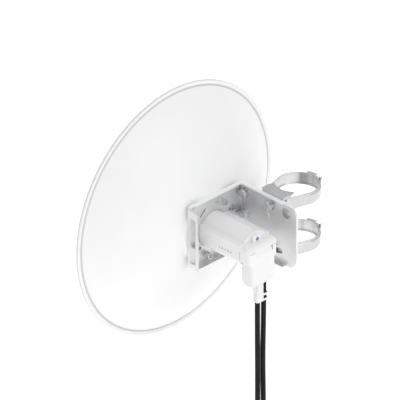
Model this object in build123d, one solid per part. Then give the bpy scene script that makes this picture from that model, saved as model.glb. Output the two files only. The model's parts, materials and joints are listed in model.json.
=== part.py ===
from build123d import *
import math
import os

# Outdoor wireless bridge: a 400 mm dish with its radio on the back, strapped to a 63.5 mm mast.
# Millimetres. The origin is on the mast's axis, halfway between the clamps. The dish faces +Y
# and Z is up. Parts of the antenna are drawn about the dish's axis, where it meets the back of the
# bracket's flange, and are moved to their place when they are saved.

# ---------------------------------------------------------------- driving dimensions
POLE_R = 31.75              # mast, 2.5 inch tube
DISH_X = -114.0             # dish axis, beside the mast
DISH_Z = -2.8               # dish axis, below the middle of the two clamps
FLANGE_Y = 60.5             # back face of the bracket's flange
TILT_RANGE = 15.0           # degrees each way
PIVOT_Z = 40.0
ARC_R = 73.5                # tilt pivot to the lock bolt
M8_R = 4.0
M8_HEAD_R = 7.4
M8_CLEAR = 0.35
M8_HEAD_H = 9.5
M8_FLANGE_R = 7.8
FLANGE_T = 1.8

DISH_R = 200.0
DISH_FOCAL = 116.4
DISH_SHELL = 2.0
HUB_R = 54.0
RIM_INNER_R = 192.0
RIM_Y = 78.5                # back face of the flat rim
BEAD_R = 2.5

SHEET = 3.3                 # pressed bracket
FLANGE_X0, FLANGE_X1 = -48.8, 61.7
BRACKET_Z = 53.0
PLATE_IN_X = 58.2
PLATE_BACK_Y = -112.7
STUD_RING_R = 41.5
STUD_LENGTH = 10.8
STUD_ANGLES = (67.5, -112.5, -157.5)
GROUND_ANGLE = 22.5
STIFFENER_Y = -10.0
STIFFENER_BOLT_Z = (39.0, 4.0)
PLATE_MAST_X = DISH_X + PLATE_IN_X      # face of the plate under the bolt heads

BODY_R = 27.0               # round top of the radio
BODY_HALF = 28.5            # left side; the right side is a little wider
BODY_RIGHT = 30.0
SHOULDER_Z = 15.5
BODY_BOTTOM = -26.0
BODY_BACK_Y = -82.2
WALL = 2.4
CAP_BACK_Y = -103.0
CAP_PLATE_T = 2.2
CAP_TOP_Z = 13.4            # flat top of the cap's housing
CAP_SEAM_Z = 3.8            # seam between the cap and the hood, at the sides
TONGUE_Z = -3.1             # and in the middle of the rear, where the cap reaches lower
GASKET = 0.8
SCREW_Z = 17.8
BOSS_Y = -91.0
LED_YS = [-42.0 - 5.65 * i for i in range(5)]

BOARD_Z = -4.4
BOARD_T = 1.6
JACK_TOP = BOARD_Z - BOARD_T
JACK_BOTTOM = -27.0
PORT_PLATE_Z = (-19.0, -16.5)
RESET_X = -12.0
RESET_R = 2.2

HOOD_LEFT, HOOD_RIGHT = -22.5, 26.3
HOOD_REAR = -102.7
HOOD_BOTTOM = -52.0
HOOD_WALL = 2.0

CABLE_D = 8.0
CABLE_X = (0.5, 13.3)       # main and aux, seen from behind
CABLE_Y = -91.0
PLUG_BOTTOM = -41.0
COIL_R = 43.0
COIL_TURNS = 3
COIL_PITCH = 8.3
COIL_Z = -345.0

WEB_X0, WEB_X1 = -52.0, -49.0   # web of the pole bracket
WEB_HALF = 22.5
CHANNEL_Z = 57.0
CHANNEL_T = 3.0
STRAP_Z = 39.6
STRAP_HALF = 9.8
HOUSING_ANGLE = 14.0
HOUSING_R = 39.6
SCREW_R = 3.4
RUNNING_FIT = 0.05

os.makedirs("parts", exist_ok=True)
antenna = Location((DISH_X, FLANGE_Y, DISH_Z))
node_count = 0


def save(name, shape, place=Location()):
    """Write one node's solids, moved to their place."""
    global node_count
    solids = list(shape) if isinstance(shape, (list, tuple)) else list(shape.solids())
    moved = [place * solid for solid in solids]
    export_step(moved[0] if len(moved) == 1 else Compound(children=moved), f"parts/{name}.step")
    node_count += 1


def block(x, y, z):
    """A box from three (low, high) pairs."""
    size = (x[1] - x[0], y[1] - y[0], z[1] - z[0])
    return Pos(*(sum(pair) / 2 for pair in (x, y, z))) * Box(*size)


def rod(axis, start, end, a, b, r):
    """A cylinder along an axis; a and b are its place on the other two axes, in x, y, z order."""
    middle = (start + end) / 2
    length = abs(end - start)
    if axis == "x":
        return Pos(middle, a, b) * Rot(0, 90, 0) * Cylinder(r, length)
    if axis == "y":
        return Pos(a, middle, b) * Rot(90, 0, 0) * Cylinder(r, length)
    return Pos(a, b, middle) * Cylinder(r, length)


def hexagon(axis, start, end, a, b, r):
    """A hexagonal prism, by its corner radius."""
    prism = Pos(0, 0, -abs(end - start) / 2) * extrude(RegularPolygon(r, 6), abs(end - start))
    middle = (start + end) / 2
    if axis == "x":
        return Pos(middle, a, b) * Rot(0, 90, 0) * prism
    if axis == "y":
        return Pos(a, middle, b) * Rot(90, 0, 0) * prism
    return Pos(a, b, middle) * prism


def prism_y(face, y0, y1):
    """Extrude a face drawn as (x, z) from y0 to y1."""
    return extrude(Plane.XZ * face, -(y1 - y0)).moved(Location((0, y0, 0)))


def prism_x(face, x0, x1):
    """Extrude a face drawn as (y, z) from x0 to x1."""
    return extrude(Plane.YZ * face, x1 - x0).moved(Location((x0, 0, 0)))


def turned(points):
    """Turn a closed outline of (radius, y) points about the dish's axis."""
    return revolve(make_face(Polyline(*points, close=True)), Axis.Y, 360)


# ---------------------------------------------------------------- dish
def bowl_y(r):
    """Back surface of the bowl."""
    return -0.3 + r * r / (4 * DISH_FOCAL)


def dish_reflector():
    """Pressed bowl with a flat seat in the middle and a rolled rim."""
    steps = 9
    inner_r, outer_r = HUB_R + 4, RIM_INNER_R - 0.8
    radii = [inner_r + (outer_r - inner_r) * i / steps for i in range(steps + 1)]
    back = [(r, bowl_y(r)) for r in radii]
    front = [(r, bowl_y(r) + DISH_SHELL * math.hypot(1, r / (2 * DISH_FOCAL))) for r in radii]
    seat_hole = 16.2
    rim_front = RIM_Y + DISH_SHELL + 0.9
    bead_y = RIM_Y + 1.8
    profile = [
        Polyline((seat_hole, SHEET), (HUB_R, SHEET), back[0]),
        Spline(*back),
        # a pressed crease, the flat of the rim and its bead, rolled back
        Polyline(back[-1], (RIM_INNER_R, RIM_Y + 1.2), (RIM_INNER_R + 1.2, RIM_Y + 0.2),
                 (RIM_INNER_R + 3.5, RIM_Y), (DISH_R - BEAD_R, bead_y - BEAD_R)),
        CenterArc((DISH_R - BEAD_R, bead_y), BEAD_R, -90, 180),
        Polyline((DISH_R - BEAD_R, bead_y + BEAD_R), (DISH_R - 2 * BEAD_R, rim_front), front[-1]),
        Spline(*reversed(front)),
        Polyline(front[0], (HUB_R - 1, SHEET + DISH_SHELL), (seat_hole, SHEET + DISH_SHELL),
                 (seat_hole, SHEET)),
    ]
    dish = revolve(make_face(Curve() + profile), Axis.Y, 360)
    for angle in STUD_ANGLES + (GROUND_ANGLE,):
        x, z = ring_place(angle)
        dish -= rod("y", SHEET - 1, SHEET + DISH_SHELL + 1, x, z, 2.7)
    return dish


def ring_place(angle):
    """Place on the ring of studs round the dish's axis, as (x, z)."""
    turn = math.radians(angle)
    return STUD_RING_R * math.cos(turn), STUD_RING_R * math.sin(turn)


def dish_bolts():
    """Socket screws from the dish's front, each in its standoff nut on the flange's back."""
    bolts = []
    for angle in STUD_ANGLES:
        x, z = ring_place(angle)
        shank = rod("y", -STUD_LENGTH + 4, SHEET + DISH_SHELL, x, z, 2.5)
        head = rod("y", SHEET + DISH_SHELL, SHEET + DISH_SHELL + 2.8, x, z, 4.6)
        nut = hexagon("y", -STUD_LENGTH, -0.01, x, z, 5.2) & rod("y", -STUD_LENGTH, 0, x, z, 4.8)
        socket = rod("y", -STUD_LENGTH - 1, -STUD_LENGTH + 3.5, x, z, 3.4)
        bolts.append((shank + head + nut - socket).solids()[0])
    return bolts


def ground_screw():
    """Cross-head earthing screw with its cup washer."""
    x, z = ring_place(GROUND_ANGLE)
    screw = rod("y", -2.6, 0, x, z, 4.2) + rod("y", -1.0, 0, x, z, 6.0)
    screw += rod("y", 0, SHEET + DISH_SHELL + 2, x, z, 2.5)
    for angle in (0, 90):
        screw -= Pos(x, -2.4, z) * Rot(0, angle, 0) * Box(4.6, 1.6, 0.9)
    return screw


# ---------------------------------------------------------------- bracket of the antenna
def radio_outline(grow=0.0):
    """Section of the radio, drawn as (x, z): round top, shoulders and a rounded belly."""
    top = Circle(BODY_R + grow) - Pos(0, -2 * BODY_R) * Rectangle(4 * BODY_R, 4 * BODY_R)
    box = Pos((BODY_RIGHT - BODY_HALF) / 2, (SHOULDER_Z + BODY_BOTTOM) / 2) * Rectangle(
        BODY_HALF + BODY_RIGHT + 2 * grow, SHOULDER_Z - BODY_BOTTOM + 2 * grow)
    box = fillet(box.vertices().sort_by(Axis.Y)[:2], 20 + grow)
    corners = box.vertices().sort_by(Axis.Y)[-2:].sort_by(Axis.X)
    box = fillet(corners[:1], 3 + grow)
    box = fillet(box.vertices().sort_by_distance((BODY_RIGHT, SHOULDER_Z))[:1], max(1.4 + grow, 0.3))
    return top + box


def main_bracket():
    """One L-shaped pressed sheet: a flange on the dish and a plate beside the mast."""
    l_shape = make_face(Polyline(
        (FLANGE_X0, 0), (FLANGE_X0, SHEET), (FLANGE_X1, SHEET), (FLANGE_X1, PLATE_BACK_Y),
        (PLATE_IN_X, PLATE_BACK_Y), (PLATE_IN_X, 0), close=True))
    for corner, radius in (((FLANGE_X1, SHEET, 0), 6.0), ((PLATE_IN_X, 0, 0), 2.0)):
        l_shape = fillet(l_shape.vertices().sort_by_distance(corner)[:1], radius)
    sheet = extrude(l_shape, BRACKET_Z, both=True)

    side = Pos((PLATE_BACK_Y + SHEET) / 2, 0) * Rectangle(SHEET - PLATE_BACK_Y, 2 * BRACKET_Z)
    side = fillet(side.vertices().sort_by(Axis.X)[:2], 19)
    sheet &= prism_x(side, FLANGE_X0 - 1, FLANGE_X1 + 1)
    front = Pos((FLANGE_X0 + FLANGE_X1) / 2, 0) * Rectangle(FLANGE_X1 - FLANGE_X0, 2 * BRACKET_Z)
    left = front.vertices().sort_by(Axis.X)[:2].sort_by(Axis.Y)
    front = fillet(left[-1:], 8)
    front = fillet(front.vertices().sort_by_distance((FLANGE_X0, -BRACKET_Z))[:1], 2)
    sheet &= prism_y(front, PLATE_BACK_Y - 1, SHEET + 1)

    # folded lips along the top, the bottom and the far edge
    lip = 3.0
    z_top = (BRACKET_Z - lip, BRACKET_Z)
    z_low = (-BRACKET_Z, -BRACKET_Z + lip)
    sheet += block((-38, PLATE_IN_X), (-2.7, 0.1), z_top)
    sheet += block((PLATE_IN_X - 2.7, PLATE_IN_X + 0.1), (-86, 0.1), z_top)
    sheet += block((-44, PLATE_IN_X), (-11.5, 0.1), z_low)
    sheet += block((PLATE_IN_X - 8, PLATE_IN_X + 0.1), (-92, 0.1), z_low)
    far_lip = block((FLANGE_X0, FLANGE_X0 + SHEET), (-16, 0.1), (-49.5, 46))
    far_lip = chamfer(far_lip.edges().filter_by(Axis.X).group_by(Axis.Y)[0].sort_by(Axis.Z)[-1:], 5)
    sheet += far_lip - block((FLANGE_X0 - 1, FLANGE_X0 + SHEET + 1), (-12.8, -2.2), (-40, 35))

    # openings
    sheet -= prism_y(radio_outline(0.9), -1, SHEET + 1)
    for angle in STUD_ANGLES + (GROUND_ANGLE,):
        x, z = ring_place(angle)
        sheet -= rod("y", -1, SHEET + 1, x, z, 2.7)
    slot_place = Pos(-22.1, 33.5) * Rot(0, 0, 42)
    sheet += prism_y(slot_place * SlotCenterToCenter(14.5, 6.6), -1.2, 0.1)
    sheet -= prism_y(slot_place * SlotCenterToCenter(13, 2.6), -2, SHEET + 1)
    sheet -= rod("y", -1, SHEET + 1, 7.2, 39.2, 1.6)
    for x, z in ((-40.5, 47.0), (-41.5, -46.5), (51.5, 46.5)):
        sheet -= rod("y", -1, SHEET + 1, x, z, 1.8)
    pivot_y = -FLANGE_Y
    reach = (PLATE_IN_X - 1, FLANGE_X1 + 1)
    sheet -= rod("x", *reach, pivot_y, PIVOT_Z, M8_R + M8_CLEAR)
    sheet -= rod("x", *reach, -91.5, 36.2, 8.5)
    for z in STIFFENER_BOLT_Z:
        sheet -= rod("x", *reach, STIFFENER_Y, z, M8_R + M8_CLEAR)
    sheet -= prism_x(tilt_slot(pivot_y), *reach)
    dimple = rod("x", PLATE_IN_X - 1.2, PLATE_IN_X + 0.5, -54, 19.4, 3.9)
    sheet += fillet(dimple.edges().group_by(Axis.X)[0], 1.0)
    return sheet


def tilt_slot(pivot_y):
    """Arc slot round the tilt pivot, drawn as (y, z)."""
    half = M8_R + M8_CLEAR
    spread = TILT_RANGE + 0.8
    start = Vector(pivot_y, PIVOT_Z)
    ring = Pos(*start) * (Circle(ARC_R + half) - Circle(ARC_R - half))
    reach = 2 * ARC_R
    edge = [(reach * math.sin(math.radians(a)), -reach * math.cos(math.radians(a)))
            for a in (-spread, spread)]
    wedge = Pos(*start) * make_face(Polyline((0, 0), edge[0], edge[1], close=True))
    slot = ring & wedge
    for a in (-spread, spread):
        turn = math.radians(a)
        centre = (pivot_y + ARC_R * math.sin(turn), PIVOT_Z - ARC_R * math.cos(turn))
        slot += Pos(*centre) * Circle(half)
    return slot


def bracket_stiffener():
    """Short strip on the outside of the plate, behind the two bolts near the bend."""
    strip = block((FLANGE_X1, FLANGE_X1 + 3), (-17, -4.5), (-8, 50.5))
    strip = fillet(strip.edges().filter_by(Axis.X), 4)
    for z in STIFFENER_BOLT_Z:
        strip -= rod("x", FLANGE_X1 - 1, FLANGE_X1 + 4, STIFFENER_Y, z, M8_R + M8_CLEAR)
    return strip


def flanged_bolt(head_x, end_x, y, z):
    """M8 bolt along +X with a flanged hex head; head_x is the seat under the head."""
    bolt = rod("x", head_x, end_x, y, z, M8_R)
    bolt += rod("x", head_x - FLANGE_T, head_x, y, z, M8_FLANGE_R)
    hexed = hexagon("x", head_x - M8_HEAD_H, head_x - FLANGE_T + 0.1, y, z, M8_HEAD_R)
    crown = rod("x", head_x - M8_HEAD_H, head_x, y, z, M8_HEAD_R - 0.2)
    crown = fillet(crown.edges().group_by(Axis.X)[0], 2.2)
    return bolt + (hexed & crown)


def hex_nut(x, y, z):
    """M8 nut that starts at x and points along +X."""
    nut = hexagon("x", x, x + 6.5, y, z, M8_HEAD_R)
    nut &= rod("x", x, x + 6.5, y, z, M8_HEAD_R - 0.35)
    return nut - rod("x", x - 1, x + 8, y, z, M8_R)


# ---------------------------------------------------------------- radio
def radio_body():
    """White moulded case, closed on the dish and open behind above the seam."""
    body = prism_y(radio_outline(), BODY_BACK_Y, SHEET)
    rim = prism_y(radio_outline(0.7), BODY_BACK_Y, BODY_BACK_Y + 2.2)
    body += rim & block((-40, 40), (BODY_BACK_Y, BODY_BACK_Y + 2.2), (CAP_SEAM_Z, 40))
    room = prism_y(radio_outline(-WALL), BODY_BACK_Y + WALL, SHEET - WALL)
    body -= room
    body -= prism_y(radio_outline(-WALL), BODY_BACK_Y - 1, 0) & block(
        (-40, 40), (BODY_BACK_Y - 1, 0), (JACK_TOP - 0.5, 40))
    body -= rod("y", 0, SHEET + 1, 0, 0, 14.1)
    for y in LED_YS:
        body -= block((-BODY_HALF - 1, -BODY_HALF + WALL + 1), (y - 1.1, y + 1.1), (-5.2, -3.2))
    body += rod("y", BODY_BACK_Y + 0.2, BODY_BACK_Y + 9, 0, SCREW_Z, 4.6)
    body += block((-1.2, 1.2), (BODY_BACK_Y + 0.2, BODY_BACK_Y + 9), (SCREW_Z, BODY_R - 1))
    body -= rod("y", BODY_BACK_Y - 1, BODY_BACK_Y + 8, 0, SCREW_Z, 1.75)
    return body


def tongue(gap):
    """The cap's tongue into the hood's rear wall, drawn as (x, z); gap makes the notch for it."""
    low = TONGUE_Z - gap
    return make_face(Polyline(
        (-15.5 - gap, CAP_SEAM_Z + 1), (-15.5 - gap, CAP_SEAM_Z - gap), (-12.5 - gap, low + 1.6),
        (-11.0 - gap, low), (-10.6 - gap, low - 1.3), (-4.2 + gap, low - 1.3), (-3.8 + gap, low),
        (18.4 + 6 * gap, low), (18.4 + 6 * gap, CAP_SEAM_Z + 1), close=True))


def cap_housing(shrink):
    """Housing behind the cap's plate, or its hollow with shrink as the wall."""
    front, low = BODY_BACK_Y - GASKET + shrink, TONGUE_Z - 2 - shrink
    top, back = CAP_TOP_Z - shrink, CAP_BACK_Y + shrink
    side = make_face(Polyline((front, low), (front, top), (back + 4.2, top), (back, TONGUE_Z),
                              (back, low), close=True))
    side = fillet(side.vertices().sort_by_distance((back + 4.2, top))[:1], 9 - shrink)
    left, right = -BODY_HALF - 0.4 + shrink, BODY_RIGHT + 0.4 - shrink
    section = Pos((left + right) / 2, (low + top) / 2) * Rectangle(right - left, top - low)
    section = fillet(section.vertices().sort_by(Axis.Y)[-2:], 5 - shrink)
    plan = Pos((left + right) / 2, (front + back) / 2) * Rectangle(right - left, front - back)
    plan = fillet(plan.vertices().sort_by(Axis.Y)[:2], 4.5 - shrink)
    solid = prism_x(side, left - 1, right + 1) & prism_y(section, back - 1, front)
    return solid & Pos(0, 0, low - 1) * extrude(plan, top - low + 2)


def rear_cap():
    """Flat plate on the case's end, a housing behind it and the boss of its screw."""
    start = BODY_BACK_Y - GASKET
    cap = prism_y(radio_outline(0.4), start - CAP_PLATE_T, start) + cap_housing(0)
    ring = radio_outline(0.4) - radio_outline(-1.0)
    cap += prism_y(ring, start - 0.1, BODY_BACK_Y - 0.02)
    boss = block((-8.5, 7), (BOSS_Y, start - 0.1), (CAP_TOP_Z - 3, SCREW_Z + 6.0))
    boss = fillet(boss.edges().filter_by(Axis.Y).group_by(Axis.Z)[-1], 2.5)
    boss = fillet(boss.edges().group_by(Axis.Z)[-1].group_by(Axis.Y)[0], 1.2)
    cap = cap + boss - (cap_housing(WALL) & block((-40, 40), (-110, start - WALL), (-20, 40)))
    cap -= block((-26, 27.5), (start - WALL - 0.1, BODY_BACK_Y + 1), (-20, CAP_TOP_Z - WALL))
    keep = block((-40, 40), (-110, BODY_BACK_Y + 1), (CAP_SEAM_Z, 40))
    keep += prism_y(tongue(0), -110, -97)
    cap &= keep
    cap -= rod("y", BOSS_Y - 1, BODY_BACK_Y, 0, SCREW_Z, 1.9)
    return cap - rod("y", BOSS_Y - 1, BOSS_Y + 1.6, 0, SCREW_Z, 3.2)


def cap_gasket():
    """Rubber seal inside the lip, between the case and the cap."""
    ring = prism_y(radio_outline(-1.1) - radio_outline(-WALL), BODY_BACK_Y - GASKET, BODY_BACK_Y)
    ring &= block((-40, 40), (BODY_BACK_Y - GASKET, BODY_BACK_Y), (CAP_SEAM_Z, 40))
    return ring - rod("y", BODY_BACK_Y - GASKET, BODY_BACK_Y, 0, SCREW_Z, 5)


def cap_screw():
    """Cross-head screw that holds the cap."""
    screw = rod("y", BOSS_Y - 0.4, BOSS_Y + 1.5, 0, SCREW_Z, 2.9)
    screw += rod("y", BOSS_Y + 1.5, BODY_BACK_Y + 7, 0, SCREW_Z, 1.7)
    for angle in (45, -45):
        screw -= Pos(0, BOSS_Y, SCREW_Z) * Rot(0, angle, 0) * Box(3.8, 1.6, 0.8)
    return screw


def led_windows():
    """Five small clear windows in the side wall."""
    return [block((-BODY_HALF + 0.1, -BODY_HALF + WALL), (y - 1.0, y + 1.0), (-5.1, -3.3))
            for y in LED_YS]


def status_leds():
    """Five lamps on the board, one behind each window."""
    return [block((-24.0, -22.0), (y - 0.8, y + 0.8), (BOARD_Z, BOARD_Z + 1.2)) for y in LED_YS]


def main_board():
    """Circuit board, from the dish to above the sockets."""
    board = block((-24.5, 24.5), (-79.2, -1.8), (JACK_TOP, BOARD_Z))
    return board + block((-19.5, 20.5), (-99.4, -79), (JACK_TOP, BOARD_Z))


def rf_shield():
    """Tinned can over the radio chips."""
    can = block((-17, 17), (-46, -12), (BOARD_Z, BOARD_Z + 6))
    can = fillet(can.edges().filter_by(Axis.Z), 1.5)
    return can - block((-16.5, 16.5), (-45.5, -12.5), (BOARD_Z - 1, BOARD_Z + 5.5))


def ethernet_jacks():
    """Two shielded sockets under the board, open downwards."""
    jacks = []
    for x in CABLE_X:
        jack = block((x - 6.2, x + 6.2), (CABLE_Y - 7.9, CABLE_Y + 7.9), (JACK_BOTTOM, JACK_TOP))
        jack -= block((x - 3.6, x + 3.6), (CABLE_Y - 6, CABLE_Y + 6), (JACK_BOTTOM - 1, -12))
        jacks.append(jack.solids()[0])
    return jacks


def port_plate():
    """Moulded plate round the sockets, with the reset button's hole."""
    plate = block((-19.6, 20.0), (-100.0, BODY_BACK_Y - 0.05), PORT_PLATE_Z)
    plate = fillet(plate.edges().filter_by(Axis.Z).group_by(Axis.Y)[0], 3.2)
    plate += block((-19.6, 20.0), (-84.2, BODY_BACK_Y - 0.05), (PORT_PLATE_Z[0], JACK_TOP - 0.2))
    low, high = PORT_PLATE_Z[0] - 1, JACK_TOP
    gap = 0.15
    for x in CABLE_X:
        plate -= block((x - 6.2 - gap, x + 6.2 + gap),
                       (CABLE_Y - 7.9 - gap, CABLE_Y + 7.9 + gap), (low, high))
    return plate - rod("z", low, high, RESET_X, CABLE_Y, RESET_R + 0.2)


def reset_button():
    """Push button beside the sockets; it moves up by 0.8 mm."""
    cap = rod("z", -20.2, -10.6, RESET_X, CABLE_Y, RESET_R)
    flange = rod("z", -15.6, -14.6, RESET_X, CABLE_Y, RESET_R + 1.1)
    return cap + flange


def reset_switch():
    """Tact switch on the board, above the button."""
    return block((RESET_X - 3, RESET_X + 3), (CABLE_Y - 3, CABLE_Y + 3), (-9.7, JACK_TOP))


def hood_plan(left, right, rear, front, inset, front_r):
    """Plan of a part of the hood, with rounded rear corners; inset is the wall."""
    across, along = right - left - 2 * inset, front - rear - inset
    plan = Pos((left + right) / 2, (front + rear + inset) / 2) * Rectangle(across, along)
    plan = fillet(plan.vertices().sort_by(Axis.Y)[:2], 5 - inset)
    if front_r:
        plan = fillet(plan.vertices().sort_by(Axis.Y)[-2:], front_r)
    return plan


def hood_form(inset, low, high):
    """The hood's outline, or its hollow when inset is the wall."""
    belly_z, skirt_z = -26.6, -15.0       # top of the deep lower box, bottom of the wide skirt
    front = -83.4 if inset == 0 else -80.0
    deep = hood_plan(HOOD_LEFT, HOOD_RIGHT, HOOD_REAR, -78.0 - inset, inset, 5 - inset)
    form = Pos(0, 0, low) * extrude(deep, belly_z - inset - low)
    slim = hood_plan(HOOD_LEFT, HOOD_RIGHT, HOOD_REAR, front, inset, 0)
    form += Pos(0, 0, belly_z - inset - 0.1) * extrude(slim, skirt_z - belly_z + inset + 6)
    left, right = -BODY_HALF - 0.2, BODY_RIGHT + 0.2
    wide = hood_plan(left, right, HOOD_REAR, front, inset, 0)
    section = Pos((left + right) / 2, (skirt_z + inset + high) / 2) * Rectangle(
        right - left - 2 * inset, high - skirt_z - inset)
    section = fillet(section.vertices().sort_by(Axis.Y)[:2], 6 - inset)
    skirt = Pos(0, 0, skirt_z - 1) * extrude(wide, high - skirt_z + 2)
    return form + (skirt & prism_y(section, HOOD_REAR - 1, front + 1))


def port_cover():
    """Hood over the sockets: a narrow box below and a wider skirt under the cap."""
    hood = hood_form(0, HOOD_BOTTOM, CAP_SEAM_Z - 0.3)
    hood -= hood_form(HOOD_WALL, HOOD_BOTTOM - 1, CAP_SEAM_Z + 2)
    hood -= prism_y(tongue(0.3), HOOD_REAR - 1, -97)
    # the front wall is open at the bottom, and the side walls are rounded there
    toe_r = 15.0
    centre = (-78.0 - toe_r, HOOD_BOTTOM + toe_r)
    toe = block((-40, 40), (centre[0], -70), (HOOD_BOTTOM - 5, centre[1]))
    return hood - (toe - rod("x", -41, 41, *centre, toe_r))


# ---------------------------------------------------------------- feed in front of the dish
def feed_tube():
    """Plastic tube on the axis, from the case to the horn."""
    tube = rod("y", SHEET - WALL + 0.1, 96, 0, 0, 14.0)
    tube += rod("y", SHEET + DISH_SHELL + 1.2, SHEET + DISH_SHELL + 5, 0, 0, 24)
    return tube - rod("y", 0, 97, 0, 0, 12.0)


def feed_gasket():
    """Seal between the feed's collar and the dish."""
    return rod("y", SHEET + DISH_SHELL, SHEET + DISH_SHELL + 1.2, 0, 0, 22) - rod(
        "y", SHEET, SHEET + 5, 0, 0, 14.05)


def feed_horn():
    """Flared ring at the end of the tube."""
    return turned([(14.02, 84), (17, 84), (26, 104), (26, 107), (24, 107), (15.5, 96.5),
                   (14.02, 95)])


def subreflector():
    """Metal disc that throws the signal back into the dish."""
    return turned([(0.01, 114), (6, 113), (25, 117), (29, 117), (29, 118.5), (0.01, 118.5)])


def feed_cap():
    """Rounded cover over the horn and the subreflector."""
    outer = [(30.5, 96), (32, 96), (32, 118), (29, 123), (20, 126.5), (0.01, 128)]
    inner = [(0.01, 126), (19.5, 124.5), (28, 121.5), (30, 117.5)]
    return turned(outer + inner)


# ---------------------------------------------------------------- cables
def cable_route(x, way):
    """Route of one cable from its plug to its coil: it hangs almost straight."""
    bow = 1.2 * way
    return [
        (x, CABLE_Y, PLUG_BOTTOM),
        (x + 0.2 * way, CABLE_Y + 0.1, -112),
        (x - bow, CABLE_Y + 0.6, -188),
        (x - 0.4 * way, CABLE_Y - 0.5, -262),
        (x, CABLE_Y, COIL_Z + 16),
    ]


def tube_along(points, name):
    """A cord's solid: straight runs joined by arcs as large as the runs allow."""
    radii = []
    for a, b, c in zip(points, points[1:], points[2:]):
        before, after = Vector(*b) - Vector(*a), Vector(*c) - Vector(*b)
        half_turn = math.radians(before.get_angle(after)) / 2
        radii.append(0.45 * min(before.length, after.length) / math.tan(half_turn))
    path = FilletPolyline(*points, radius=radii)
    start = Plane(origin=points[0], z_dir=path % 0)
    tube = sweep(start * Circle(CABLE_D / 2), path=path)
    expected = math.pi * CABLE_D ** 2 / 4 * path.length
    print(f"{name}: radii {[round(r) for r in radii]}, length {path.length:.1f}, "
          f"volume {tube.volume / expected:.4f} of section times length")
    return tube


def coil(x, way):
    """Outer shape of the coiled length: turns side by side on one round."""
    width = COIL_TURNS * COIL_PITCH + CABLE_D
    middle = x + way * (width - CABLE_D) / 2
    ring = Cylinder(COIL_R + CABLE_D / 2, width) - Cylinder(COIL_R - CABLE_D / 2, width)
    ring = fillet(ring.edges(), 3.6)
    return Pos(middle, CABLE_Y + COIL_R, COIL_Z) * Rot(0, 90, 0) * ring


def tail_x(x, way):
    """Where the far end leaves the coil."""
    return x + way * COIL_TURNS * COIL_PITCH


def modular_plug(x, y, top, length, boot):
    """Eight-way plug with its latch, opening side up if boot is below."""
    body = block((x - 3.25, x + 3.25), (y - 5.85, y + 5.85), (top - length, top))
    latch = block((x + 3.25, x + 3.45), (y - 3, y + 3), (top - length, top - 3))
    collar = rod("z", top - length - boot, top - length + 0.5, x, y, CABLE_D / 2 + 0.9)
    return body + latch + collar - rod("z", top - length - boot - 1, top - length + 0.1, x, y,
                                       CABLE_D / 2 + 0.02)


def far_plug(x, y, top):
    """Plug at a cable's far end, pointing down, with a boot round the cable above it."""
    body = block((x - 3.25, x + 3.25), (y - 5.85, y + 5.85), (top - 30, top - 9))
    boot = rod("z", top - 9.5, top, x, y, CABLE_D / 2 + 0.9) - rod(
        "z", top - 8.9, top + 1, x, y, CABLE_D / 2 + 0.02)
    return body + boot


def cable_clip():
    """White clip on the main cable, with two bands that take in the other cable."""
    (x0, x1), z0, z1 = CABLE_X, -87.0, -55.0
    side = 5.5
    clip = block((x0 - 4.9, x0 + 8.2), (CABLE_Y - side, CABLE_Y + side), (z0 + 1, z1))
    clip = fillet(clip.edges().filter_by(Axis.Z), 2.2)
    for z in (z0 + 0.6, z0 + 9.4):
        band = block((x0 - 5.3, x1 + 5.4), (CABLE_Y - 5.3, CABLE_Y + 5.3), (z - 1.4, z + 1.4))
        clip += fillet(band.edges().filter_by(Axis.Z), 4)
    clip += block((x0 - 8.0, x0 - 4), (CABLE_Y - 2, CABLE_Y + 2), (-64, -58))
    for z in (-60.5, -67.5):
        clip -= block((x0 + 5.4, x0 + 7.2), (CABLE_Y - side - 1, CABLE_Y - side + 1.6),
                      (z - 1.4, z + 1.4))
    for x in CABLE_X:
        clip -= rod("z", z0 - 2, z1 + 1, x, CABLE_Y, CABLE_D / 2 + 0.3)
    return clip


def coil_ties():
    """One hook-and-loop tie round each coil."""
    ties = []
    for x, way in zip(CABLE_X, (-1, 1)):
        width = COIL_TURNS * COIL_PITCH + CABLE_D
        middle = x + way * (width - CABLE_D) / 2
        y = CABLE_Y + 2 * COIL_R
        half_w, half_r = width / 2 + 0.1, CABLE_D / 2 + 0.9
        band = block((middle - half_w - 1.3, middle + half_w + 1.3),
                     (y - half_r - 1.3, y + half_r + 1.3), (COIL_Z - 7, COIL_Z + 7))
        band -= block((middle - half_w, middle + half_w), (y - half_r, y + half_r),
                      (COIL_Z - 8, COIL_Z + 8))
        ties.append(band.solids()[0])
    return ties


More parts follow.
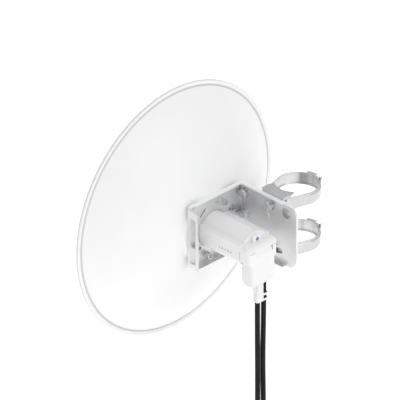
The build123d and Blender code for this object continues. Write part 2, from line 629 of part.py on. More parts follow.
# ---------------------------------------------------------------- mast side
def pole_bracket():
    """Channel against the mast: web, notched ends and slotted sides."""
    plan = make_face(Polyline(
        (WEB_X0, -WEB_HALF), (WEB_X1 + 8, -WEB_HALF), (-24.5, -19.5), (-24.5, 19.5),
        (WEB_X1 + 8, WEB_HALF), (WEB_X0, WEB_HALF), close=True))
    plan -= Circle(POLE_R + 0.05)
    plan -= Pos(-5.6, 0) * Circle(30.2)
    ends = extrude(plan, CHANNEL_Z, both=True) - block(
        (-60, 0), (-40, 40), (-CHANNEL_Z + CHANNEL_T, CHANNEL_Z - CHANNEL_T))
    web = block((WEB_X0, WEB_X1), (-WEB_HALF, WEB_HALF), (-CHANNEL_Z, CHANNEL_Z))
    side_x = (WEB_X0, WEB_X1 + 13)
    sides = block(side_x, (-WEB_HALF, -WEB_HALF + CHANNEL_T), (-CHANNEL_Z, CHANNEL_Z))
    sides += block(side_x, (WEB_HALF - CHANNEL_T, WEB_HALF), (-CHANNEL_Z, CHANNEL_Z))
    bracket = ends + web + sides
    corners = bracket.edges().filter_by(Axis.Z).group_by(Axis.X)[0]
    bracket = fillet(corners, 2.0)
    ear = block((WEB_X0, WEB_X1), (-42, -WEB_HALF + 4), (26, 47))
    ear = fillet(ear.edges().filter_by(Axis.X).group_by(Axis.Y)[0], 6)
    bracket += ear - rod("x", WEB_X0 - 1, WEB_X1 + 1, -32.5, 33.2, 2.6)
    for z in (PIVOT_Z, PIVOT_Z - ARC_R):
        bracket -= rod("x", WEB_X0 - 1, WEB_X1 + 1, 0, z, M8_R + 0.05)
    bracket = Pos(0, 0, DISH_Z) * bracket
    for z in (-STRAP_Z, STRAP_Z):
        bracket -= block((WEB_X1, WEB_X1 + 14), (-40, 40),
                         (z - STRAP_HALF - 0.6, z + STRAP_HALF + 0.6))
    return bracket


def strap(z):
    """Band round the mast and through the channel's sides, with pressed edges and a free tail."""
    corner_r = 1.7
    corner_x, corner_y = WEB_X1 + 6.2, WEB_HALF - 3.3
    face = make_hull(Circle(POLE_R).edges()
                     + (Pos(corner_x, corner_y) * Circle(corner_r)).edges()
                     + (Pos(corner_x, -corner_y) * Circle(corner_r)).edges())
    levels = [
        (0.1, 1.3, -STRAP_HALF, -STRAP_HALF + 1.8),
        (0.7, 1.9, -STRAP_HALF + 1.2, -STRAP_HALF + 3.2),
        (1.2, 2.4, -STRAP_HALF + 2.4, STRAP_HALF - 4.4),
        (0.9, 2.1, STRAP_HALF - 5.2, STRAP_HALF - 3.4),
        (0.5, 1.7, STRAP_HALF - 4.2, STRAP_HALF - 1.8),
        (0.1, 1.3, STRAP_HALF - 2.4, STRAP_HALF),
    ]
    band = None
    for inner, outer, low, high in levels:
        ring = extrude(offset(face, outer) - offset(face, inner), high - low)
        ring = Pos(0, 0, z + low) * ring
        band = ring if band is None else band + ring
    # its ends hook behind the channel's sides, clear of the nuts between them
    band -= block((WEB_X1 - 5, corner_x + 2), (-14, 14), (z - 20, z + 20))
    start, tip = Vector(27.9, -18.6), Vector(45.5, -4.2)
    middle, run = (start + tip) / 2, tip - start
    lean = math.degrees(math.atan2(run.Y, run.X))
    return band + Pos(middle.X, middle.Y, z) * Rot(0, 0, lean) * Box(run.length, 0.9, 12.6)


def housing_place(z):
    """Frame of a strap's worm drive: X along the band, Y outwards."""
    turn = math.radians(HOUSING_ANGLE)
    centre = (HOUSING_R * math.cos(turn), HOUSING_R * math.sin(turn), z)
    return Location(centre, (0, 0, HOUSING_ANGLE - 90))


def screw_housing(z):
    """Pressed housing of the worm screw."""
    case = block((-7.5, 7.5), (-5.6, 5.6), (-7.0, 7.0))
    case = fillet(case.edges().filter_by(Axis.X), 3.0)
    case -= rod("x", -8, 8, 0.6, 0, SCREW_R + RUNNING_FIT)
    case -= block((-8, 8), (-6, -4.4), (-6.5, 6.5))
    return housing_place(z) * case


def clamp_screw(z):
    """Worm screw with its slotted hexagon head."""
    screw = rod("x", -7.5, 9.0, 0.6, 0, SCREW_R)
    head = hexagon("x", 9.0, 14.0, 0.6, 0, 4.4)
    head -= block((12.6, 14.5), (0.1, 1.1), (-5, 5))
    return housing_place(z) * (screw + head)


# ---------------------------------------------------------------- write the nodes
save("dish_reflector", dish_reflector(), antenna)
save("dish_bolts", dish_bolts(), antenna)
save("ground_screw", ground_screw(), antenna)
save("main_bracket", main_bracket(), antenna)
save("bracket_stiffener", bracket_stiffener(), antenna)
save("stiffener_bolts", [flanged_bolt(PLATE_IN_X, FLANGE_X1 + 12, STIFFENER_Y, z).solids()[0]
                         for z in STIFFENER_BOLT_Z], antenna)
save("stiffener_nuts", [hex_nut(FLANGE_X1 + 3, STIFFENER_Y, z).solids()[0]
                        for z in STIFFENER_BOLT_Z], antenna)
save("radio_body", radio_body(), antenna)
save("rear_cap", rear_cap(), antenna)
save("cap_gasket", cap_gasket(), antenna)
save("cap_screw", cap_screw(), antenna)
save("led_windows", led_windows(), antenna)
save("status_leds", status_leds(), antenna)
save("main_board", main_board(), antenna)
save("rf_shield", rf_shield(), antenna)
save("ethernet_jacks", ethernet_jacks(), antenna)
save("port_plate", port_plate(), antenna)
save("reset_button", reset_button(), antenna)
save("reset_switch", reset_switch(), antenna)
save("port_cover", port_cover(), antenna)
save("feed_tube", feed_tube(), antenna)
save("feed_gasket", feed_gasket(), antenna)
save("feed_horn", feed_horn(), antenna)
save("subreflector", subreflector(), antenna)
save("feed_cap", feed_cap(), antenna)

for label, x, way in zip(("main", "aux"), CABLE_X, (-1, 1)):
    save(f"plug_{label}", modular_plug(x, CABLE_Y, -13.5, 21.5, 6.0), antenna)
    save(f"cable_{label}", tube_along(cable_route(x, way), f"cable_{label}"), antenna)
    save(f"coil_{label}", coil(x, way), antenna)
    end_x = tail_x(x, way)
    save(f"tail_{label}", rod("z", COIL_Z - 37.9, COIL_Z - 14, end_x, CABLE_Y, CABLE_D / 2), antenna)
    save(f"far_plug_{label}", far_plug(end_x, CABLE_Y, COIL_Z - 29), antenna)
save("cable_clip", cable_clip(), antenna)
save("coil_ties", coil_ties(), antenna)

save("pole_bracket", pole_bracket())
for label, z in (("pivot", PIVOT_Z + DISH_Z), ("lock", PIVOT_Z - ARC_R + DISH_Z)):
    washer = rod("x", PLATE_MAST_X - 1.8, PLATE_MAST_X - 0.1, 0, z, 9.5)
    save(f"{label}_washer", washer - rod("x", PLATE_MAST_X - 3, PLATE_MAST_X, 0, z, M8_R))
    save(f"{label}_bolt", flanged_bolt(PLATE_MAST_X - 1.8, WEB_X1 + 9, 0, z))
    save(f"{label}_nut", hex_nut(WEB_X1, 0, z))
for label, z in (("upper", STRAP_Z), ("lower", -STRAP_Z)):
    save(f"{label}_strap", strap(z))
    save(f"{label}_screw_housing", screw_housing(z))
    save(f"{label}_clamp_screw", clamp_screw(z))
print(node_count, "nodes")
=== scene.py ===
# %% [markdown]
# # An outdoor wireless bridge
# A white parabolic dish carries a small radio on its back. A pressed aluminium bracket joins them
# to a mast with a tilt bolt, a lock bolt and two band clamps. The metal and plastic parts come from
# a finished CAD model, which is loaded as a fixed frame. This script adds the camera, the light,
# the cables, the ties round their coils, and every finish.

# %% Load the frame
import json
import math

import bpy
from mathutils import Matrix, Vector


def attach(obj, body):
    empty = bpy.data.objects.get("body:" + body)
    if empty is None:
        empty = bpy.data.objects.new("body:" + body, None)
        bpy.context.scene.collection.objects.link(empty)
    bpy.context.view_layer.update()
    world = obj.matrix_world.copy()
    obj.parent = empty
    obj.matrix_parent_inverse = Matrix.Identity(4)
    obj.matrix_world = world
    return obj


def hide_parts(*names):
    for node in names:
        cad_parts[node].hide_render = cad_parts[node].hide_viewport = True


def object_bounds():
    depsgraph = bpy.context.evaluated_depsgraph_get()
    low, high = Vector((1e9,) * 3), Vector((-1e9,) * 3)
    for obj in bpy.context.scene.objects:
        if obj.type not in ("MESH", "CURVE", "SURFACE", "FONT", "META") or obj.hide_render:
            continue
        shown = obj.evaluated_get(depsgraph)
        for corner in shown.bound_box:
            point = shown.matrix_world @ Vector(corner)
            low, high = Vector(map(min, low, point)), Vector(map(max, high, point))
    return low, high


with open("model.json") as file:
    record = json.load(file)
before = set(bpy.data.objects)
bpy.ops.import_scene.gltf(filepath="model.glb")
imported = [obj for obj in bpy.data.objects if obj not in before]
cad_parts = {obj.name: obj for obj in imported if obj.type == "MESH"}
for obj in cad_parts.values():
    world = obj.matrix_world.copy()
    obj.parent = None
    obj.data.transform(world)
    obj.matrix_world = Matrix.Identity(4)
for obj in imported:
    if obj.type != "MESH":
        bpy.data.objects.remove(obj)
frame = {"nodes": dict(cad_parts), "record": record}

cad_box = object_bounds()
nodes = frame["nodes"]
bpy.ops.object.select_all(action="DESELECT")

# %% [markdown]
# ## Camera
# The object is seen from behind, to its left and 30 degrees above it, and its upright edges stay
# parallel. A very long lens from far away gives that flat, catalogue-like view, and it still works
# as a normal perspective camera when the object is looked at from other sides.

# %% Place the camera
MM = 0.001
LENS = 1200.0               # mm, very long, so upright edges stay parallel
SENSOR = 36.0               # mm
FRAME_WIDTH = 0.5818        # m across the picture, at the object
FAR_CLIP = 100.0
AIM = Vector((-0.1274, 0.0739, 0.0427))
AZIMUTH, ELEVATION = math.radians(-45), math.radians(30)
back = Vector((math.sin(AZIMUTH) * math.cos(ELEVATION),
               -math.cos(AZIMUTH) * math.cos(ELEVATION), math.sin(ELEVATION)))
camera = bpy.data.objects.new("camera", bpy.data.cameras.new("camera"))
bpy.context.scene.collection.objects.link(camera)
camera.data.lens = LENS
camera.data.sensor_width = SENSOR
camera.data.clip_end = FAR_CLIP
camera.location = AIM + back * (FRAME_WIDTH * LENS / SENSOR)
camera.rotation_euler = back.to_track_quat("Z", "Y").to_euler()
bpy.context.scene.camera = camera
print("camera stands", round((camera.location - AIM).length, 2), "m away")

# %% [markdown]
# ## Shader maths
# Most finishes below mix a few masks. One small class lets a socket be used in ordinary
# arithmetic, so `0.4 + grain * 0.1` adds the Math nodes that it needs, and one method adds any
# other node.


# %% A socket in arithmetic, and a finish
class Wire:
    """A shader socket that adds Math nodes when it is used in arithmetic."""

    def __init__(self, finish, socket):
        self.finish, self.socket = finish, socket

    def maths(self, operation, a, b):
        return self.finish.maths(operation, a, b)

    def __add__(self, other):
        return self.maths("ADD", self, other)

    def __sub__(self, other):
        return self.maths("SUBTRACT", self, other)

    def __rsub__(self, other):
        return self.maths("SUBTRACT", other, self)

    def __mul__(self, other):
        return self.maths("MULTIPLY", self, other)

    __radd__ = __add__
    __rmul__ = __mul__


class Finish:
    """A material under construction, round one Principled shader."""

    def __init__(self, name, **values):
        self.material = bpy.data.materials.new(name)
        self.material.use_nodes = True
        self.tree = self.material.node_tree
        self.shader = self.tree.nodes["Principled BSDF"]
        for socket, value in values.items():
            self.shader.inputs[socket.replace("_", " ")].default_value = value
        self.place = self.node("ShaderNodeTexCoord", {}, {}, "Object")

    def node(self, kind, settings, inputs, output=0):
        made = self.tree.nodes.new(kind)
        for name, value in settings.items():
            if name == "stops":
                for stop, (where, grey) in zip(made.color_ramp.elements, value):
                    stop.position, stop.color = where, (grey, grey, grey, 1)
            else:
                setattr(made, name, value)
        for name, value in inputs.items():
            if isinstance(value, Wire):
                self.tree.links.new(value.socket, made.inputs[name])
            else:
                made.inputs[name].default_value = value
        return Wire(self, made.outputs[output])

    def link(self, **wires):
        for name, wire in wires.items():
            self.tree.links.new(wire.socket, self.shader.inputs[name.replace("_", " ")])

    def stretched(self, scale):
        return self.node("ShaderNodeMapping", {}, {"Vector": self.place, "Scale": scale})

    def noise(self, scale, detail=3.0, where=None):
        inputs = {"Vector": where or self.place, "Scale": scale, "Detail": detail}
        return self.node("ShaderNodeTexNoise", {}, inputs, "Fac")

    def ramp(self, value, low, high):
        stops = [(low, 0.0), (high, 1.0)]
        return self.node("ShaderNodeValToRGB", {"stops": stops}, {"Fac": value})

    def maths(self, operation, a, b):
        return self.node("ShaderNodeMath", {"operation": operation}, {0: a, 1: b})

    def blend(self, mask, first, second):
        """Mix two colours, or a colour and a wire, by a mask."""
        first, second = (value if isinstance(value, Wire) else (*value, 1)
                         for value in (first, second))
        return self.node("ShaderNodeMix", {"data_type": "RGBA"}, {0: mask, 6: first, 7: second}, 2)

    def bump(self, height, strength, distance):
        return self.node("ShaderNodeBump", {}, {
            "Height": height, "Strength": strength, "Distance": distance})


# %% [markdown]
# ## Finishes
# Each surface gets its colour, its grain and its roughness from patterns in the object's own
# space, so nothing has to be unwrapped. The dish has a powder coat: a white skin with a shallow
# orange peel, with painted shade in grey along the rim's crease and the bead's edge. The radio,
# its hood and its cap are moulded, and take the fine spark-eroded grain of their mould.


# %% Dish paint and moulded plastics
DISH_CENTRE = Vector((-0.114, 0.0605, -0.0028))     # where the dish's axis meets the bracket
CREASE_R = 0.1924                                   # the pressed crease inside the rim
CREASE_FADE = (0.0005, 0.0026)                      # the painted shade is full up to here, and gone from here
BEAD_EDGE = (0.198875, 0.199625)                    # the outermost edge of the rolled bead
# painted shade: the grey painted into the rim's crease and along the bead's edge
PAINTED_SHADE_GREY = (0.60, 0.60, 0.605)


def powder_coat():
    finish = Finish("powder_coat", Specular_IOR_Level=0.5)
    cloud = finish.noise(9.0, 2.0)
    speck = finish.noise(420.0, 2.0)
    peel = finish.noise(850.0, 2.0)
    tone = finish.ramp(cloud * 0.8 + speck * 0.2, 0.25, 0.75)
    # painted shade: the coat is painted greyer in the rim's crease and along the bead's edge
    flat = finish.node("ShaderNodeVectorMath", {"operation": "MULTIPLY"},
                       {0: finish.place, 1: (1, 0, 1)}, "Vector")
    centre = (DISH_CENTRE.x, 0, DISH_CENTRE.z)
    radius = finish.node("ShaderNodeVectorMath", {"operation": "DISTANCE"},
                         {0: flat, 1: centre}, "Value")
    near_crease = finish.maths("ABSOLUTE", radius - CREASE_R, 0)
    crease = 1 - finish.ramp(near_crease * 100, *(100 * fade for fade in CREASE_FADE))
    bead = finish.ramp(radius * 4, *(4 * edge for edge in BEAD_EDGE))
    painted_shade = crease * 0.75 + bead * 0.6
    unshaded = finish.blend(tone, (0.90, 0.902, 0.905), (0.94, 0.94, 0.942))
    finish.link(
        # the unshaded coat, with painted shade mixed in at the crease and the bead
        Base_Color=finish.blend(painted_shade, unshaded, PAINTED_SHADE_GREY),
        Roughness=0.36 + peel * 0.10 + cloud * 0.06,
        Normal=finish.bump(peel, 0.14, 0.0004))
    return finish.material


def moulded(name, dark, light, roughness, grain=1300.0, strength=0.16):
    """Injection-moulded plastic with a fine spark-eroded grain."""
    finish = Finish(name)
    spark = finish.noise(grain, 3.0)
    flow = finish.noise(24.0, 2.0)
    tone = finish.ramp(flow * 0.75 + spark * 0.25, 0.25, 0.75)
    finish.link(
        Base_Color=finish.blend(tone, dark, light),
        Roughness=roughness + spark * 0.10 + flow * 0.05,
        Normal=finish.bump(spark, strength, 0.0003))
    return finish.material


# %% [markdown]
# ### Metal finishes
# The bracket is satin aluminium sheet, brushed one way, with a soft blotch left by its pickling
# bath. Its lips get a painted highlight: their outer faces are painted near white, rougher and less
# metallic. The bands use the same recipe with tighter lines. Screws and nuts are plated: small
# crystals, in patches.

# %% Metals
LIP_INSIDE = 0.0500         # where the bracket's lips begin, above and below the dish axis
LIP_FADE = 0.0004           # and how soon their painted highlight is full
DECIMETRES = 10             # a ramp works best on values near 1, so heights are scaled to it


def lip_highlight_mask(finish):
    """1 on the bracket's upper and lower lips, which get a painted highlight, 0 between them."""
    height = finish.node("ShaderNodeVectorMath", {"operation": "DOT_PRODUCT"},
                         {0: finish.place, 1: (0, 0, 1)}, "Value")
    from_axis = finish.maths("ABSOLUTE", height - DISH_CENTRE.z, 0)
    return finish.ramp(from_axis * DECIMETRES,
                       LIP_INSIDE * DECIMETRES, (LIP_INSIDE + LIP_FADE) * DECIMETRES)


def satin_metal(name, dark, light, roughness, stretch=(1.0, 1.0, 26.0), lips=False):
    """Brushed sheet: fine lines one way, a soft blotch and, if asked, a painted highlight on the
    lips.
    """
    finish = Finish(name, Metallic=1.0)
    lines = finish.noise(300.0, 4.0, finish.stretched(stretch))
    blotch = finish.noise(17.0, 3.0)
    tone = finish.ramp(lines * 0.45 + blotch * 0.55, 0.3, 0.7)
    colour = finish.blend(tone, dark, light)
    rough = roughness + lines * 0.12 + blotch * 0.10
    if lips:
        lip_highlight = lip_highlight_mask(finish)
        # painted highlight: the lips' outer faces are painted near white, rougher and less metallic
        colour = finish.blend(lip_highlight, colour, (0.97, 0.97, 0.97))
        rough = rough + lip_highlight * 0.10
        finish.link(Metallic=1 - lip_highlight * 0.45)
    finish.link(Base_Color=colour, Roughness=rough, Normal=finish.bump(lines, 0.06, 0.0003))
    return finish.material


def plated(name, dark, light, roughness):
    """Zinc or tin plate: small crystals, duller in patches."""
    finish = Finish(name, Metallic=1.0)
    crystal = finish.node("ShaderNodeTexVoronoi", {"feature": "F1"},
                          {"Vector": finish.place, "Scale": 900.0}, "Distance")
    dull = finish.noise(130.0, 3.0)
    tone = finish.ramp(dull, 0.35, 0.7)
    finish.link(
        Base_Color=finish.blend(tone, dark, light),
        Roughness=roughness + dull * 0.16 + crystal * 0.05,
        Normal=finish.bump(crystal, 0.05, 0.0003))
    return finish.material


# %% [markdown]
# ### Board, tape and cable jacket
# These three are mostly hidden, but they show when the hood is down or from below. The board is
# green with a grid of tracks, the tape is a dark weave, and the jacket is black plastic that is a
# little scuffed from being pulled through a conduit.

# %% Circuit board, woven tape and cable jacket
def circuit_board():
    finish = Finish("circuit_board")
    tracks = finish.node("ShaderNodeTexBrick", {}, {
        "Vector": finish.place, "Scale": 160.0, "Mortar Size": 0.03}, "Fac")
    mottle = finish.noise(300.0, 2.0)
    finish.link(
        Base_Color=finish.blend(tracks, (0.012, 0.11, 0.045), (0.05, 0.22, 0.09)),
        Roughness=0.32 + mottle * 0.12,
        Normal=finish.bump(tracks, 0.2, 0.0002))
    return finish.material


def woven_tape():
    finish = Finish("woven_tape", Sheen_Weight=0.3)
    weft = finish.node("ShaderNodeTexWave", {"bands_direction": "X"},
                       {"Vector": finish.place, "Scale": 420.0, "Distortion": 0.6}, "Fac")
    warp = finish.node("ShaderNodeTexWave", {"bands_direction": "Z"},
                       {"Vector": finish.place, "Scale": 420.0, "Distortion": 0.6}, "Fac")
    weave = weft * warp
    finish.link(
        Base_Color=finish.blend(weave, (0.012, 0.012, 0.013), (0.05, 0.05, 0.052)),
        Roughness=0.75 + weave * 0.15,
        Normal=finish.bump(weave, 0.5, 0.0006))
    return finish.material


def cable_jacket():
    finish = Finish("cable_jacket", Specular_IOR_Level=0.16)
    skin = finish.noise(700.0, 3.0)
    scuff = finish.noise(40.0, 4.0)
    marks = finish.ramp(scuff, 0.45, 0.75)
    finish.link(
        Base_Color=finish.blend(marks, (0.006, 0.006, 0.007), (0.014, 0.014, 0.015)),
        Roughness=0.30 + skin * 0.12 + marks * 0.06,
        Normal=finish.bump(skin, 0.18, 0.0003))
    return finish.material


# %% [markdown]
# ### One finish for each piece
# Each CAD node names the material it is made of, so a table from that name to a finish covers them
# all. Two pieces differ from the rest of their kind: the channel against the mast is painted darker
# than the bracket, as painted shade between the plate and the mast, and the screw in the cap has a
# blue passivated coat.

# %% Put a finish on every CAD node
WHITE = moulded("white_case", (0.83, 0.83, 0.835), (0.89, 0.89, 0.895), 0.34)
COAT = powder_coat()
SHEET_METAL = satin_metal("satin_sheet", (0.72, 0.72, 0.725), (0.90, 0.90, 0.902), 0.36,
                          lips=True)
# painted shade: the channel between the plate and the mast is painted darker than the bracket
SHADED_CHANNEL_METAL = satin_metal("channel_painted_shade", (0.54, 0.54, 0.545), (0.70, 0.70, 0.705), 0.34)
STRAP_METAL = satin_metal("strap_steel", (0.52, 0.52, 0.52), (0.74, 0.74, 0.74), 0.16,
                          (1.0, 1.0, 40.0))
ZINC = plated("bright_zinc", (0.52, 0.53, 0.55), (0.84, 0.84, 0.84), 0.16)
SCREW_BLUE = plated("blue_zinc", (0.22, 0.25, 0.32), (0.42, 0.46, 0.54), 0.24)
TIN = plated("tin_plate", (0.60, 0.60, 0.59), (0.80, 0.80, 0.78), 0.26)
CAST = satin_metal("spun_metal", (0.60, 0.60, 0.61), (0.78, 0.78, 0.78), 0.28, (1, 22, 1))
SEAL = moulded("seal_rubber", (0.015, 0.015, 0.016), (0.035, 0.035, 0.036), 0.62)
WINDOW = moulded("light_pipe", (0.16, 0.17, 0.19), (0.26, 0.27, 0.30), 0.12, strength=0.04)
LAMP = moulded("led_lens", (0.62, 0.72, 0.62), (0.80, 0.86, 0.78), 0.15, strength=0.04)
GREY = moulded("grey_insert", (0.20, 0.21, 0.22), (0.30, 0.31, 0.32), 0.42)
BLACK = moulded("black_insert", (0.02, 0.02, 0.02), (0.04, 0.04, 0.04), 0.42)
PLUG = moulded("plug_shell", (0.40, 0.42, 0.45), (0.56, 0.58, 0.60), 0.14, strength=0.05)
CLIP = moulded("white_clip", (0.80, 0.80, 0.80), (0.88, 0.88, 0.88), 0.42)
BOARD, TAPE, JACKET = circuit_board(), woven_tape(), cable_jacket()
finish_of_slot = {
    "dish_paint": COAT, "zinc": ZINC, "bracket_metal": SHEET_METAL, "white_plastic": WHITE,
    "seal_rubber": SEAL, "clear_plastic": WINDOW, "led_plastic": LAMP, "board": BOARD,
    "tin": TIN, "grey_plastic": GREY, "black_plastic": BLACK, "cast_metal": CAST,
    "plug_plastic": PLUG, "cable_jacket": JACKET, "clip_plastic": CLIP, "tie_fabric": TAPE,
    "strap_steel": STRAP_METAL,
}
slot_of_node = {part["node"]: part["material_slot"] for part in frame["record"]["subparts"]}
for name, node in nodes.items():
    node.data.materials.clear()
    node.data.materials.append(finish_of_slot[slot_of_node[name]])
# the channel gets the darker metal that stands for painted shade
nodes["pole_bracket"].data.materials[0] = SHADED_CHANNEL_METAL
nodes["cap_screw"].data.materials[0] = SCREW_BLUE
print("finishes", len(finish_of_slot))

# %% [markdown]
# ## Hook-and-loop ties
# Each coil is held by one short strip of hook-and-loop tape that goes round its three turns and
# closes on itself. A box without its ends becomes the sleeve: its corners are bevelled round, and
# Solidify gives the tape its thickness. The free end is a second, thinner strip that lies over it.

# %% Shape one tie
COIL_R, COIL_TURNS, COIL_PITCH, COIL_Z = 43.0, 3, 8.3, -345.0       # mm
CABLE_Y = -91.0                                                     # mm
CABLE_RADIUS = 0.004
CABLES = {"main": (0.5, -1), "aux": (13.3, 1)}      # X in mm, and the side its coil grows to
TAPE_T, TAPE_WIDTH = 0.0012, 0.014
TAPE_SLACK = 0.0003
TAPE_CORNER = 0.0041                                # the tape follows the outer turns
FLAP_LENGTH, FLAP_LIFT = 0.019, (0.004, 0.0012, 0)  # the flap's end stands off a little
EDGE_ROUND = 0.0003
coil_width = (COIL_TURNS * COIL_PITCH + 8.0) * MM
print("coil width", round(coil_width, 4))


def pick(piece, mode, wanted):
    """Select the faces or edges for which wanted(part) is true, and stay in edit mode."""
    bpy.ops.object.mode_set(mode="OBJECT")
    mesh = piece.data
    for group in (mesh.vertices, mesh.edges, mesh.polygons):
        group.foreach_set("select", [False] * len(group))
    for part in (mesh.polygons if mode == "FACE" else mesh.edges):
        part.select = wanted(part)
    bpy.ops.object.mode_set(mode="EDIT")
    bpy.ops.mesh.select_mode(type=mode)


def fix(kind, **settings):
    """Add one modifier to the active piece and apply it."""
    modifier = bpy.context.object.modifiers.new(kind.lower(), kind)
    for name, value in settings.items():
        setattr(modifier, name, value)
    bpy.ops.object.modifier_apply(modifier=modifier.name)


def upright(edge, mesh):
    """True for an edge that runs along Z."""
    a, b = (mesh.vertices[i].co for i in edge.vertices)
    return abs(a.z - b.z) > 0.9 * (a - b).length


def tie(middle):
    """One strip of tape round a coil whose turns run along Z at middle."""
    inner = Vector((coil_width + TAPE_SLACK, 2 * CABLE_RADIUS + 4 * TAPE_SLACK, TAPE_WIDTH))
    bpy.ops.object.select_all(action="DESELECT")
    bpy.ops.mesh.primitive_cube_add(size=1, location=middle, scale=inner)
    sleeve = bpy.context.object
    bpy.ops.object.transform_apply(location=True, rotation=True, scale=True)
    pick(sleeve, "FACE", lambda face: abs(face.normal.z) > 0.5)
    bpy.ops.mesh.delete(type="FACE")
    pick(sleeve, "EDGE", lambda edge: upright(edge, sleeve.data))
    bpy.ops.mesh.bevel(offset=TAPE_CORNER, segments=7)
    bpy.ops.object.mode_set(mode="OBJECT")
    fix("SOLIDIFY", thickness=TAPE_T, offset=1.0, use_even_offset=True)
    fix("BEVEL", width=0.00025, segments=2, limit_method="ANGLE")

    flap_place = middle + Vector((FLAP_LIFT[0], inner.y / 2 + 1.5 * TAPE_T, 0))
    bpy.ops.object.select_all(action="DESELECT")
    bpy.ops.mesh.primitive_cube_add(size=1, location=flap_place,
                                    scale=(FLAP_LENGTH, TAPE_T, TAPE_WIDTH - 0.001))
    flap = bpy.context.object
    bpy.ops.object.transform_apply(location=True, rotation=True, scale=True)
    pick(flap, "FACE", lambda face: face.normal.x > 0.5)
    bpy.ops.mesh.extrude_region_move(TRANSFORM_OT_translate={"value": FLAP_LIFT})
    bpy.ops.mesh.select_all(action="DESELECT")
    bpy.ops.object.mode_set(mode="OBJECT")
    fix("BEVEL", width=EDGE_ROUND, segments=2, limit_method="ANGLE")
    sleeve.select_set(True)
    bpy.context.view_layer.objects.active = sleeve
    bpy.ops.object.join()
    bpy.ops.object.shade_smooth_by_angle(angle=math.radians(35))
    return sleeve


# %% Both ties, one piece
ANTENNA = DISH_CENTRE / MM      # where the dish axis meets the bracket, in mm
tapes = [tie((ANTENNA + Vector((x + way * COIL_TURNS * COIL_PITCH / 2,
                                CABLE_Y + 2 * COIL_R, COIL_Z))) * MM)
         for x, way in CABLES.values()]
bpy.ops.object.select_all(action="DESELECT")
for tape in tapes:
    tape.select_set(True)
bpy.context.view_layer.objects.active = tapes[0]
bpy.ops.object.join()
coil_tapes = bpy.context.object
coil_tapes.name = "coil_tapes"
coil_tapes.data.materials.clear()
coil_tapes.data.materials.append(TAPE)
bpy.ops.object.select_all(action="DESELECT")
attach(coil_tapes, "antenna")
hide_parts("coil_ties")
print("tie faces", len(coil_tapes.data.polygons))

# %% [markdown]
# ## Cables
# Two outdoor network cables hang from the plugs under the hood. About a quarter of each metre is
# on show. The rest is kept in a neat three-turn coil, tied once, with the far plug hanging from
# it. A NURBS curve gives the smooth line of a heavy cable with few points.

# %% Draw the cables
PLUG_BOTTOM = -41.0
TURN_POINTS = 16


def cable(name, x, way):
    """One cable: the hanging stretch, the coil's turns and the tail to its far plug."""
    bow = 1.2 * way
    points = [
        (x, CABLE_Y, PLUG_BOTTOM),
        (x + 0.2 * way, CABLE_Y + 0.1, -112),
        (x - bow, CABLE_Y + 0.6, -188),
        (x - 0.4 * way, CABLE_Y - 0.5, -262),
        (x, CABLE_Y, COIL_Z + 16),
    ]
    for step in range(COIL_TURNS * TURN_POINTS + 1):
        turn = step / TURN_POINTS
        angle = 2 * math.pi * turn
        points.append((x + way * COIL_PITCH * turn, CABLE_Y + COIL_R - COIL_R * math.cos(angle),
                       COIL_Z - COIL_R * math.sin(angle)))
    end_x = x + way * COIL_TURNS * COIL_PITCH
    points += [(end_x, CABLE_Y, COIL_Z - 16), (end_x, CABLE_Y, COIL_Z - 37.5)]
    curve = bpy.data.curves.new(name, "CURVE")
    curve.dimensions = "3D"
    spline = curve.splines.new("NURBS")
    spline.points.add(len(points) - 1)
    for control, point in zip(spline.points, points):
        control.co = (*((ANTENNA + Vector(point)) * MM), 1)
    spline.order_u = 3
    spline.use_endpoint_u = True
    spline.resolution_u = 8
    curve.bevel_depth = CABLE_RADIUS
    curve.bevel_resolution = 5
    curve.use_fill_caps = True
    curve.materials.append(JACKET)
    made = bpy.data.objects.new(name, curve)
    bpy.context.scene.collection.objects.link(made)
    return made


for label, (x, way) in CABLES.items():
    line = cable(f"network_cable_{label}", x, way)
    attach(line, "antenna")
    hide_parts(f"cable_{label}", f"coil_{label}", f"tail_{label}")
    on_it = [nodes[f"plug_{label}"], nodes[f"far_plug_{label}"]]
    if label == "main":
        on_it += [nodes["cable_clip"], coil_tapes]
    print(line.name, "carries", len(on_it), "pieces")

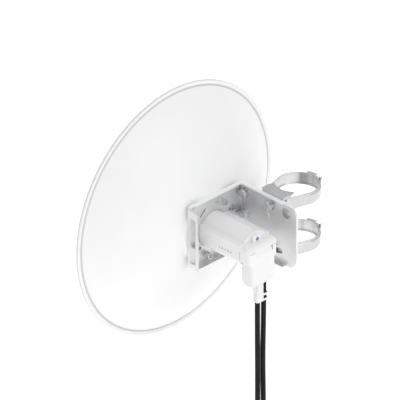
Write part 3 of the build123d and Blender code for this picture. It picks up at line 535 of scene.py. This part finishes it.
# %% [markdown]
# ## Floor and light
# The mast would hold the object well above the ground, so the pale floor lies far below. A large
# soft lamp behind the object, two weak ones beside and in front of it, and a sky that brightens
# towards the top give the even light of a catalogue.

# %% Floor, lamps and sky
FLOOR_DROP, FLOOR_SIZE = 0.9, 60
floor_finish = Finish("pale_floor", Roughness=0.8, Emission_Color=(1, 1, 1, 1),
                      Emission_Strength=0.45)
drift = floor_finish.noise(0.8, 2.0)
floor_finish.link(Base_Color=floor_finish.blend(drift, (0.94, 0.94, 0.94), (0.96, 0.96, 0.96)))
bpy.ops.mesh.primitive_plane_add(size=FLOOR_SIZE, location=(0, 0, cad_box[0][2] - FLOOR_DROP))
floor = bpy.context.object
floor.name = "floor"
floor.data.materials.append(floor_finish.material)


def lamp(name, place, size, power):
    """A square soft box that looks at the object."""
    light = bpy.data.lights.new(name, "AREA")
    light.size = size
    light.energy = power
    made = bpy.data.objects.new(name, light)
    bpy.context.scene.collection.objects.link(made)
    made.location = AIM + Vector(place)
    made.rotation_euler = Vector(place).to_track_quat("Z", "Y").to_euler()


lamp("key", (0.3, -2.2, 0.9), 1.2, 11)
lamp("fill", (-2.2, -0.3, 0.4), 1.2, 0.6)
lamp("front", (0.6, 2.4, 0.1), 1.2, 2.5)
sky = bpy.data.worlds.new("sky")
sky.use_nodes = True
HORIZON, ZENITH = 0.43, 0.94
sky_nodes, sky_links = sky.node_tree.nodes, sky.node_tree.links
sky_place = sky_nodes.new("ShaderNodeTexCoord")
sky_height = sky_nodes.new("ShaderNodeSeparateXYZ")
sky_level = sky_nodes.new("ShaderNodeMapRange")
sky_level.inputs["To Min"].default_value = HORIZON
sky_level.inputs["To Max"].default_value = ZENITH
sky_links.new(sky_place.outputs["Generated"], sky_height.inputs["Vector"])
sky_links.new(sky_height.outputs["Z"], sky_level.inputs["Value"])
sky_links.new(sky_level.outputs["Result"], sky_nodes["Background"].inputs["Strength"])
sky_nodes["Background"].inputs["Color"].default_value = (1, 1, 1, 1)
bpy.context.scene.world = sky
bpy.context.scene.view_settings.view_transform = "Standard"
print("floor at", round(floor.location.z, 3), "m, sky", HORIZON, "to", ZENITH)
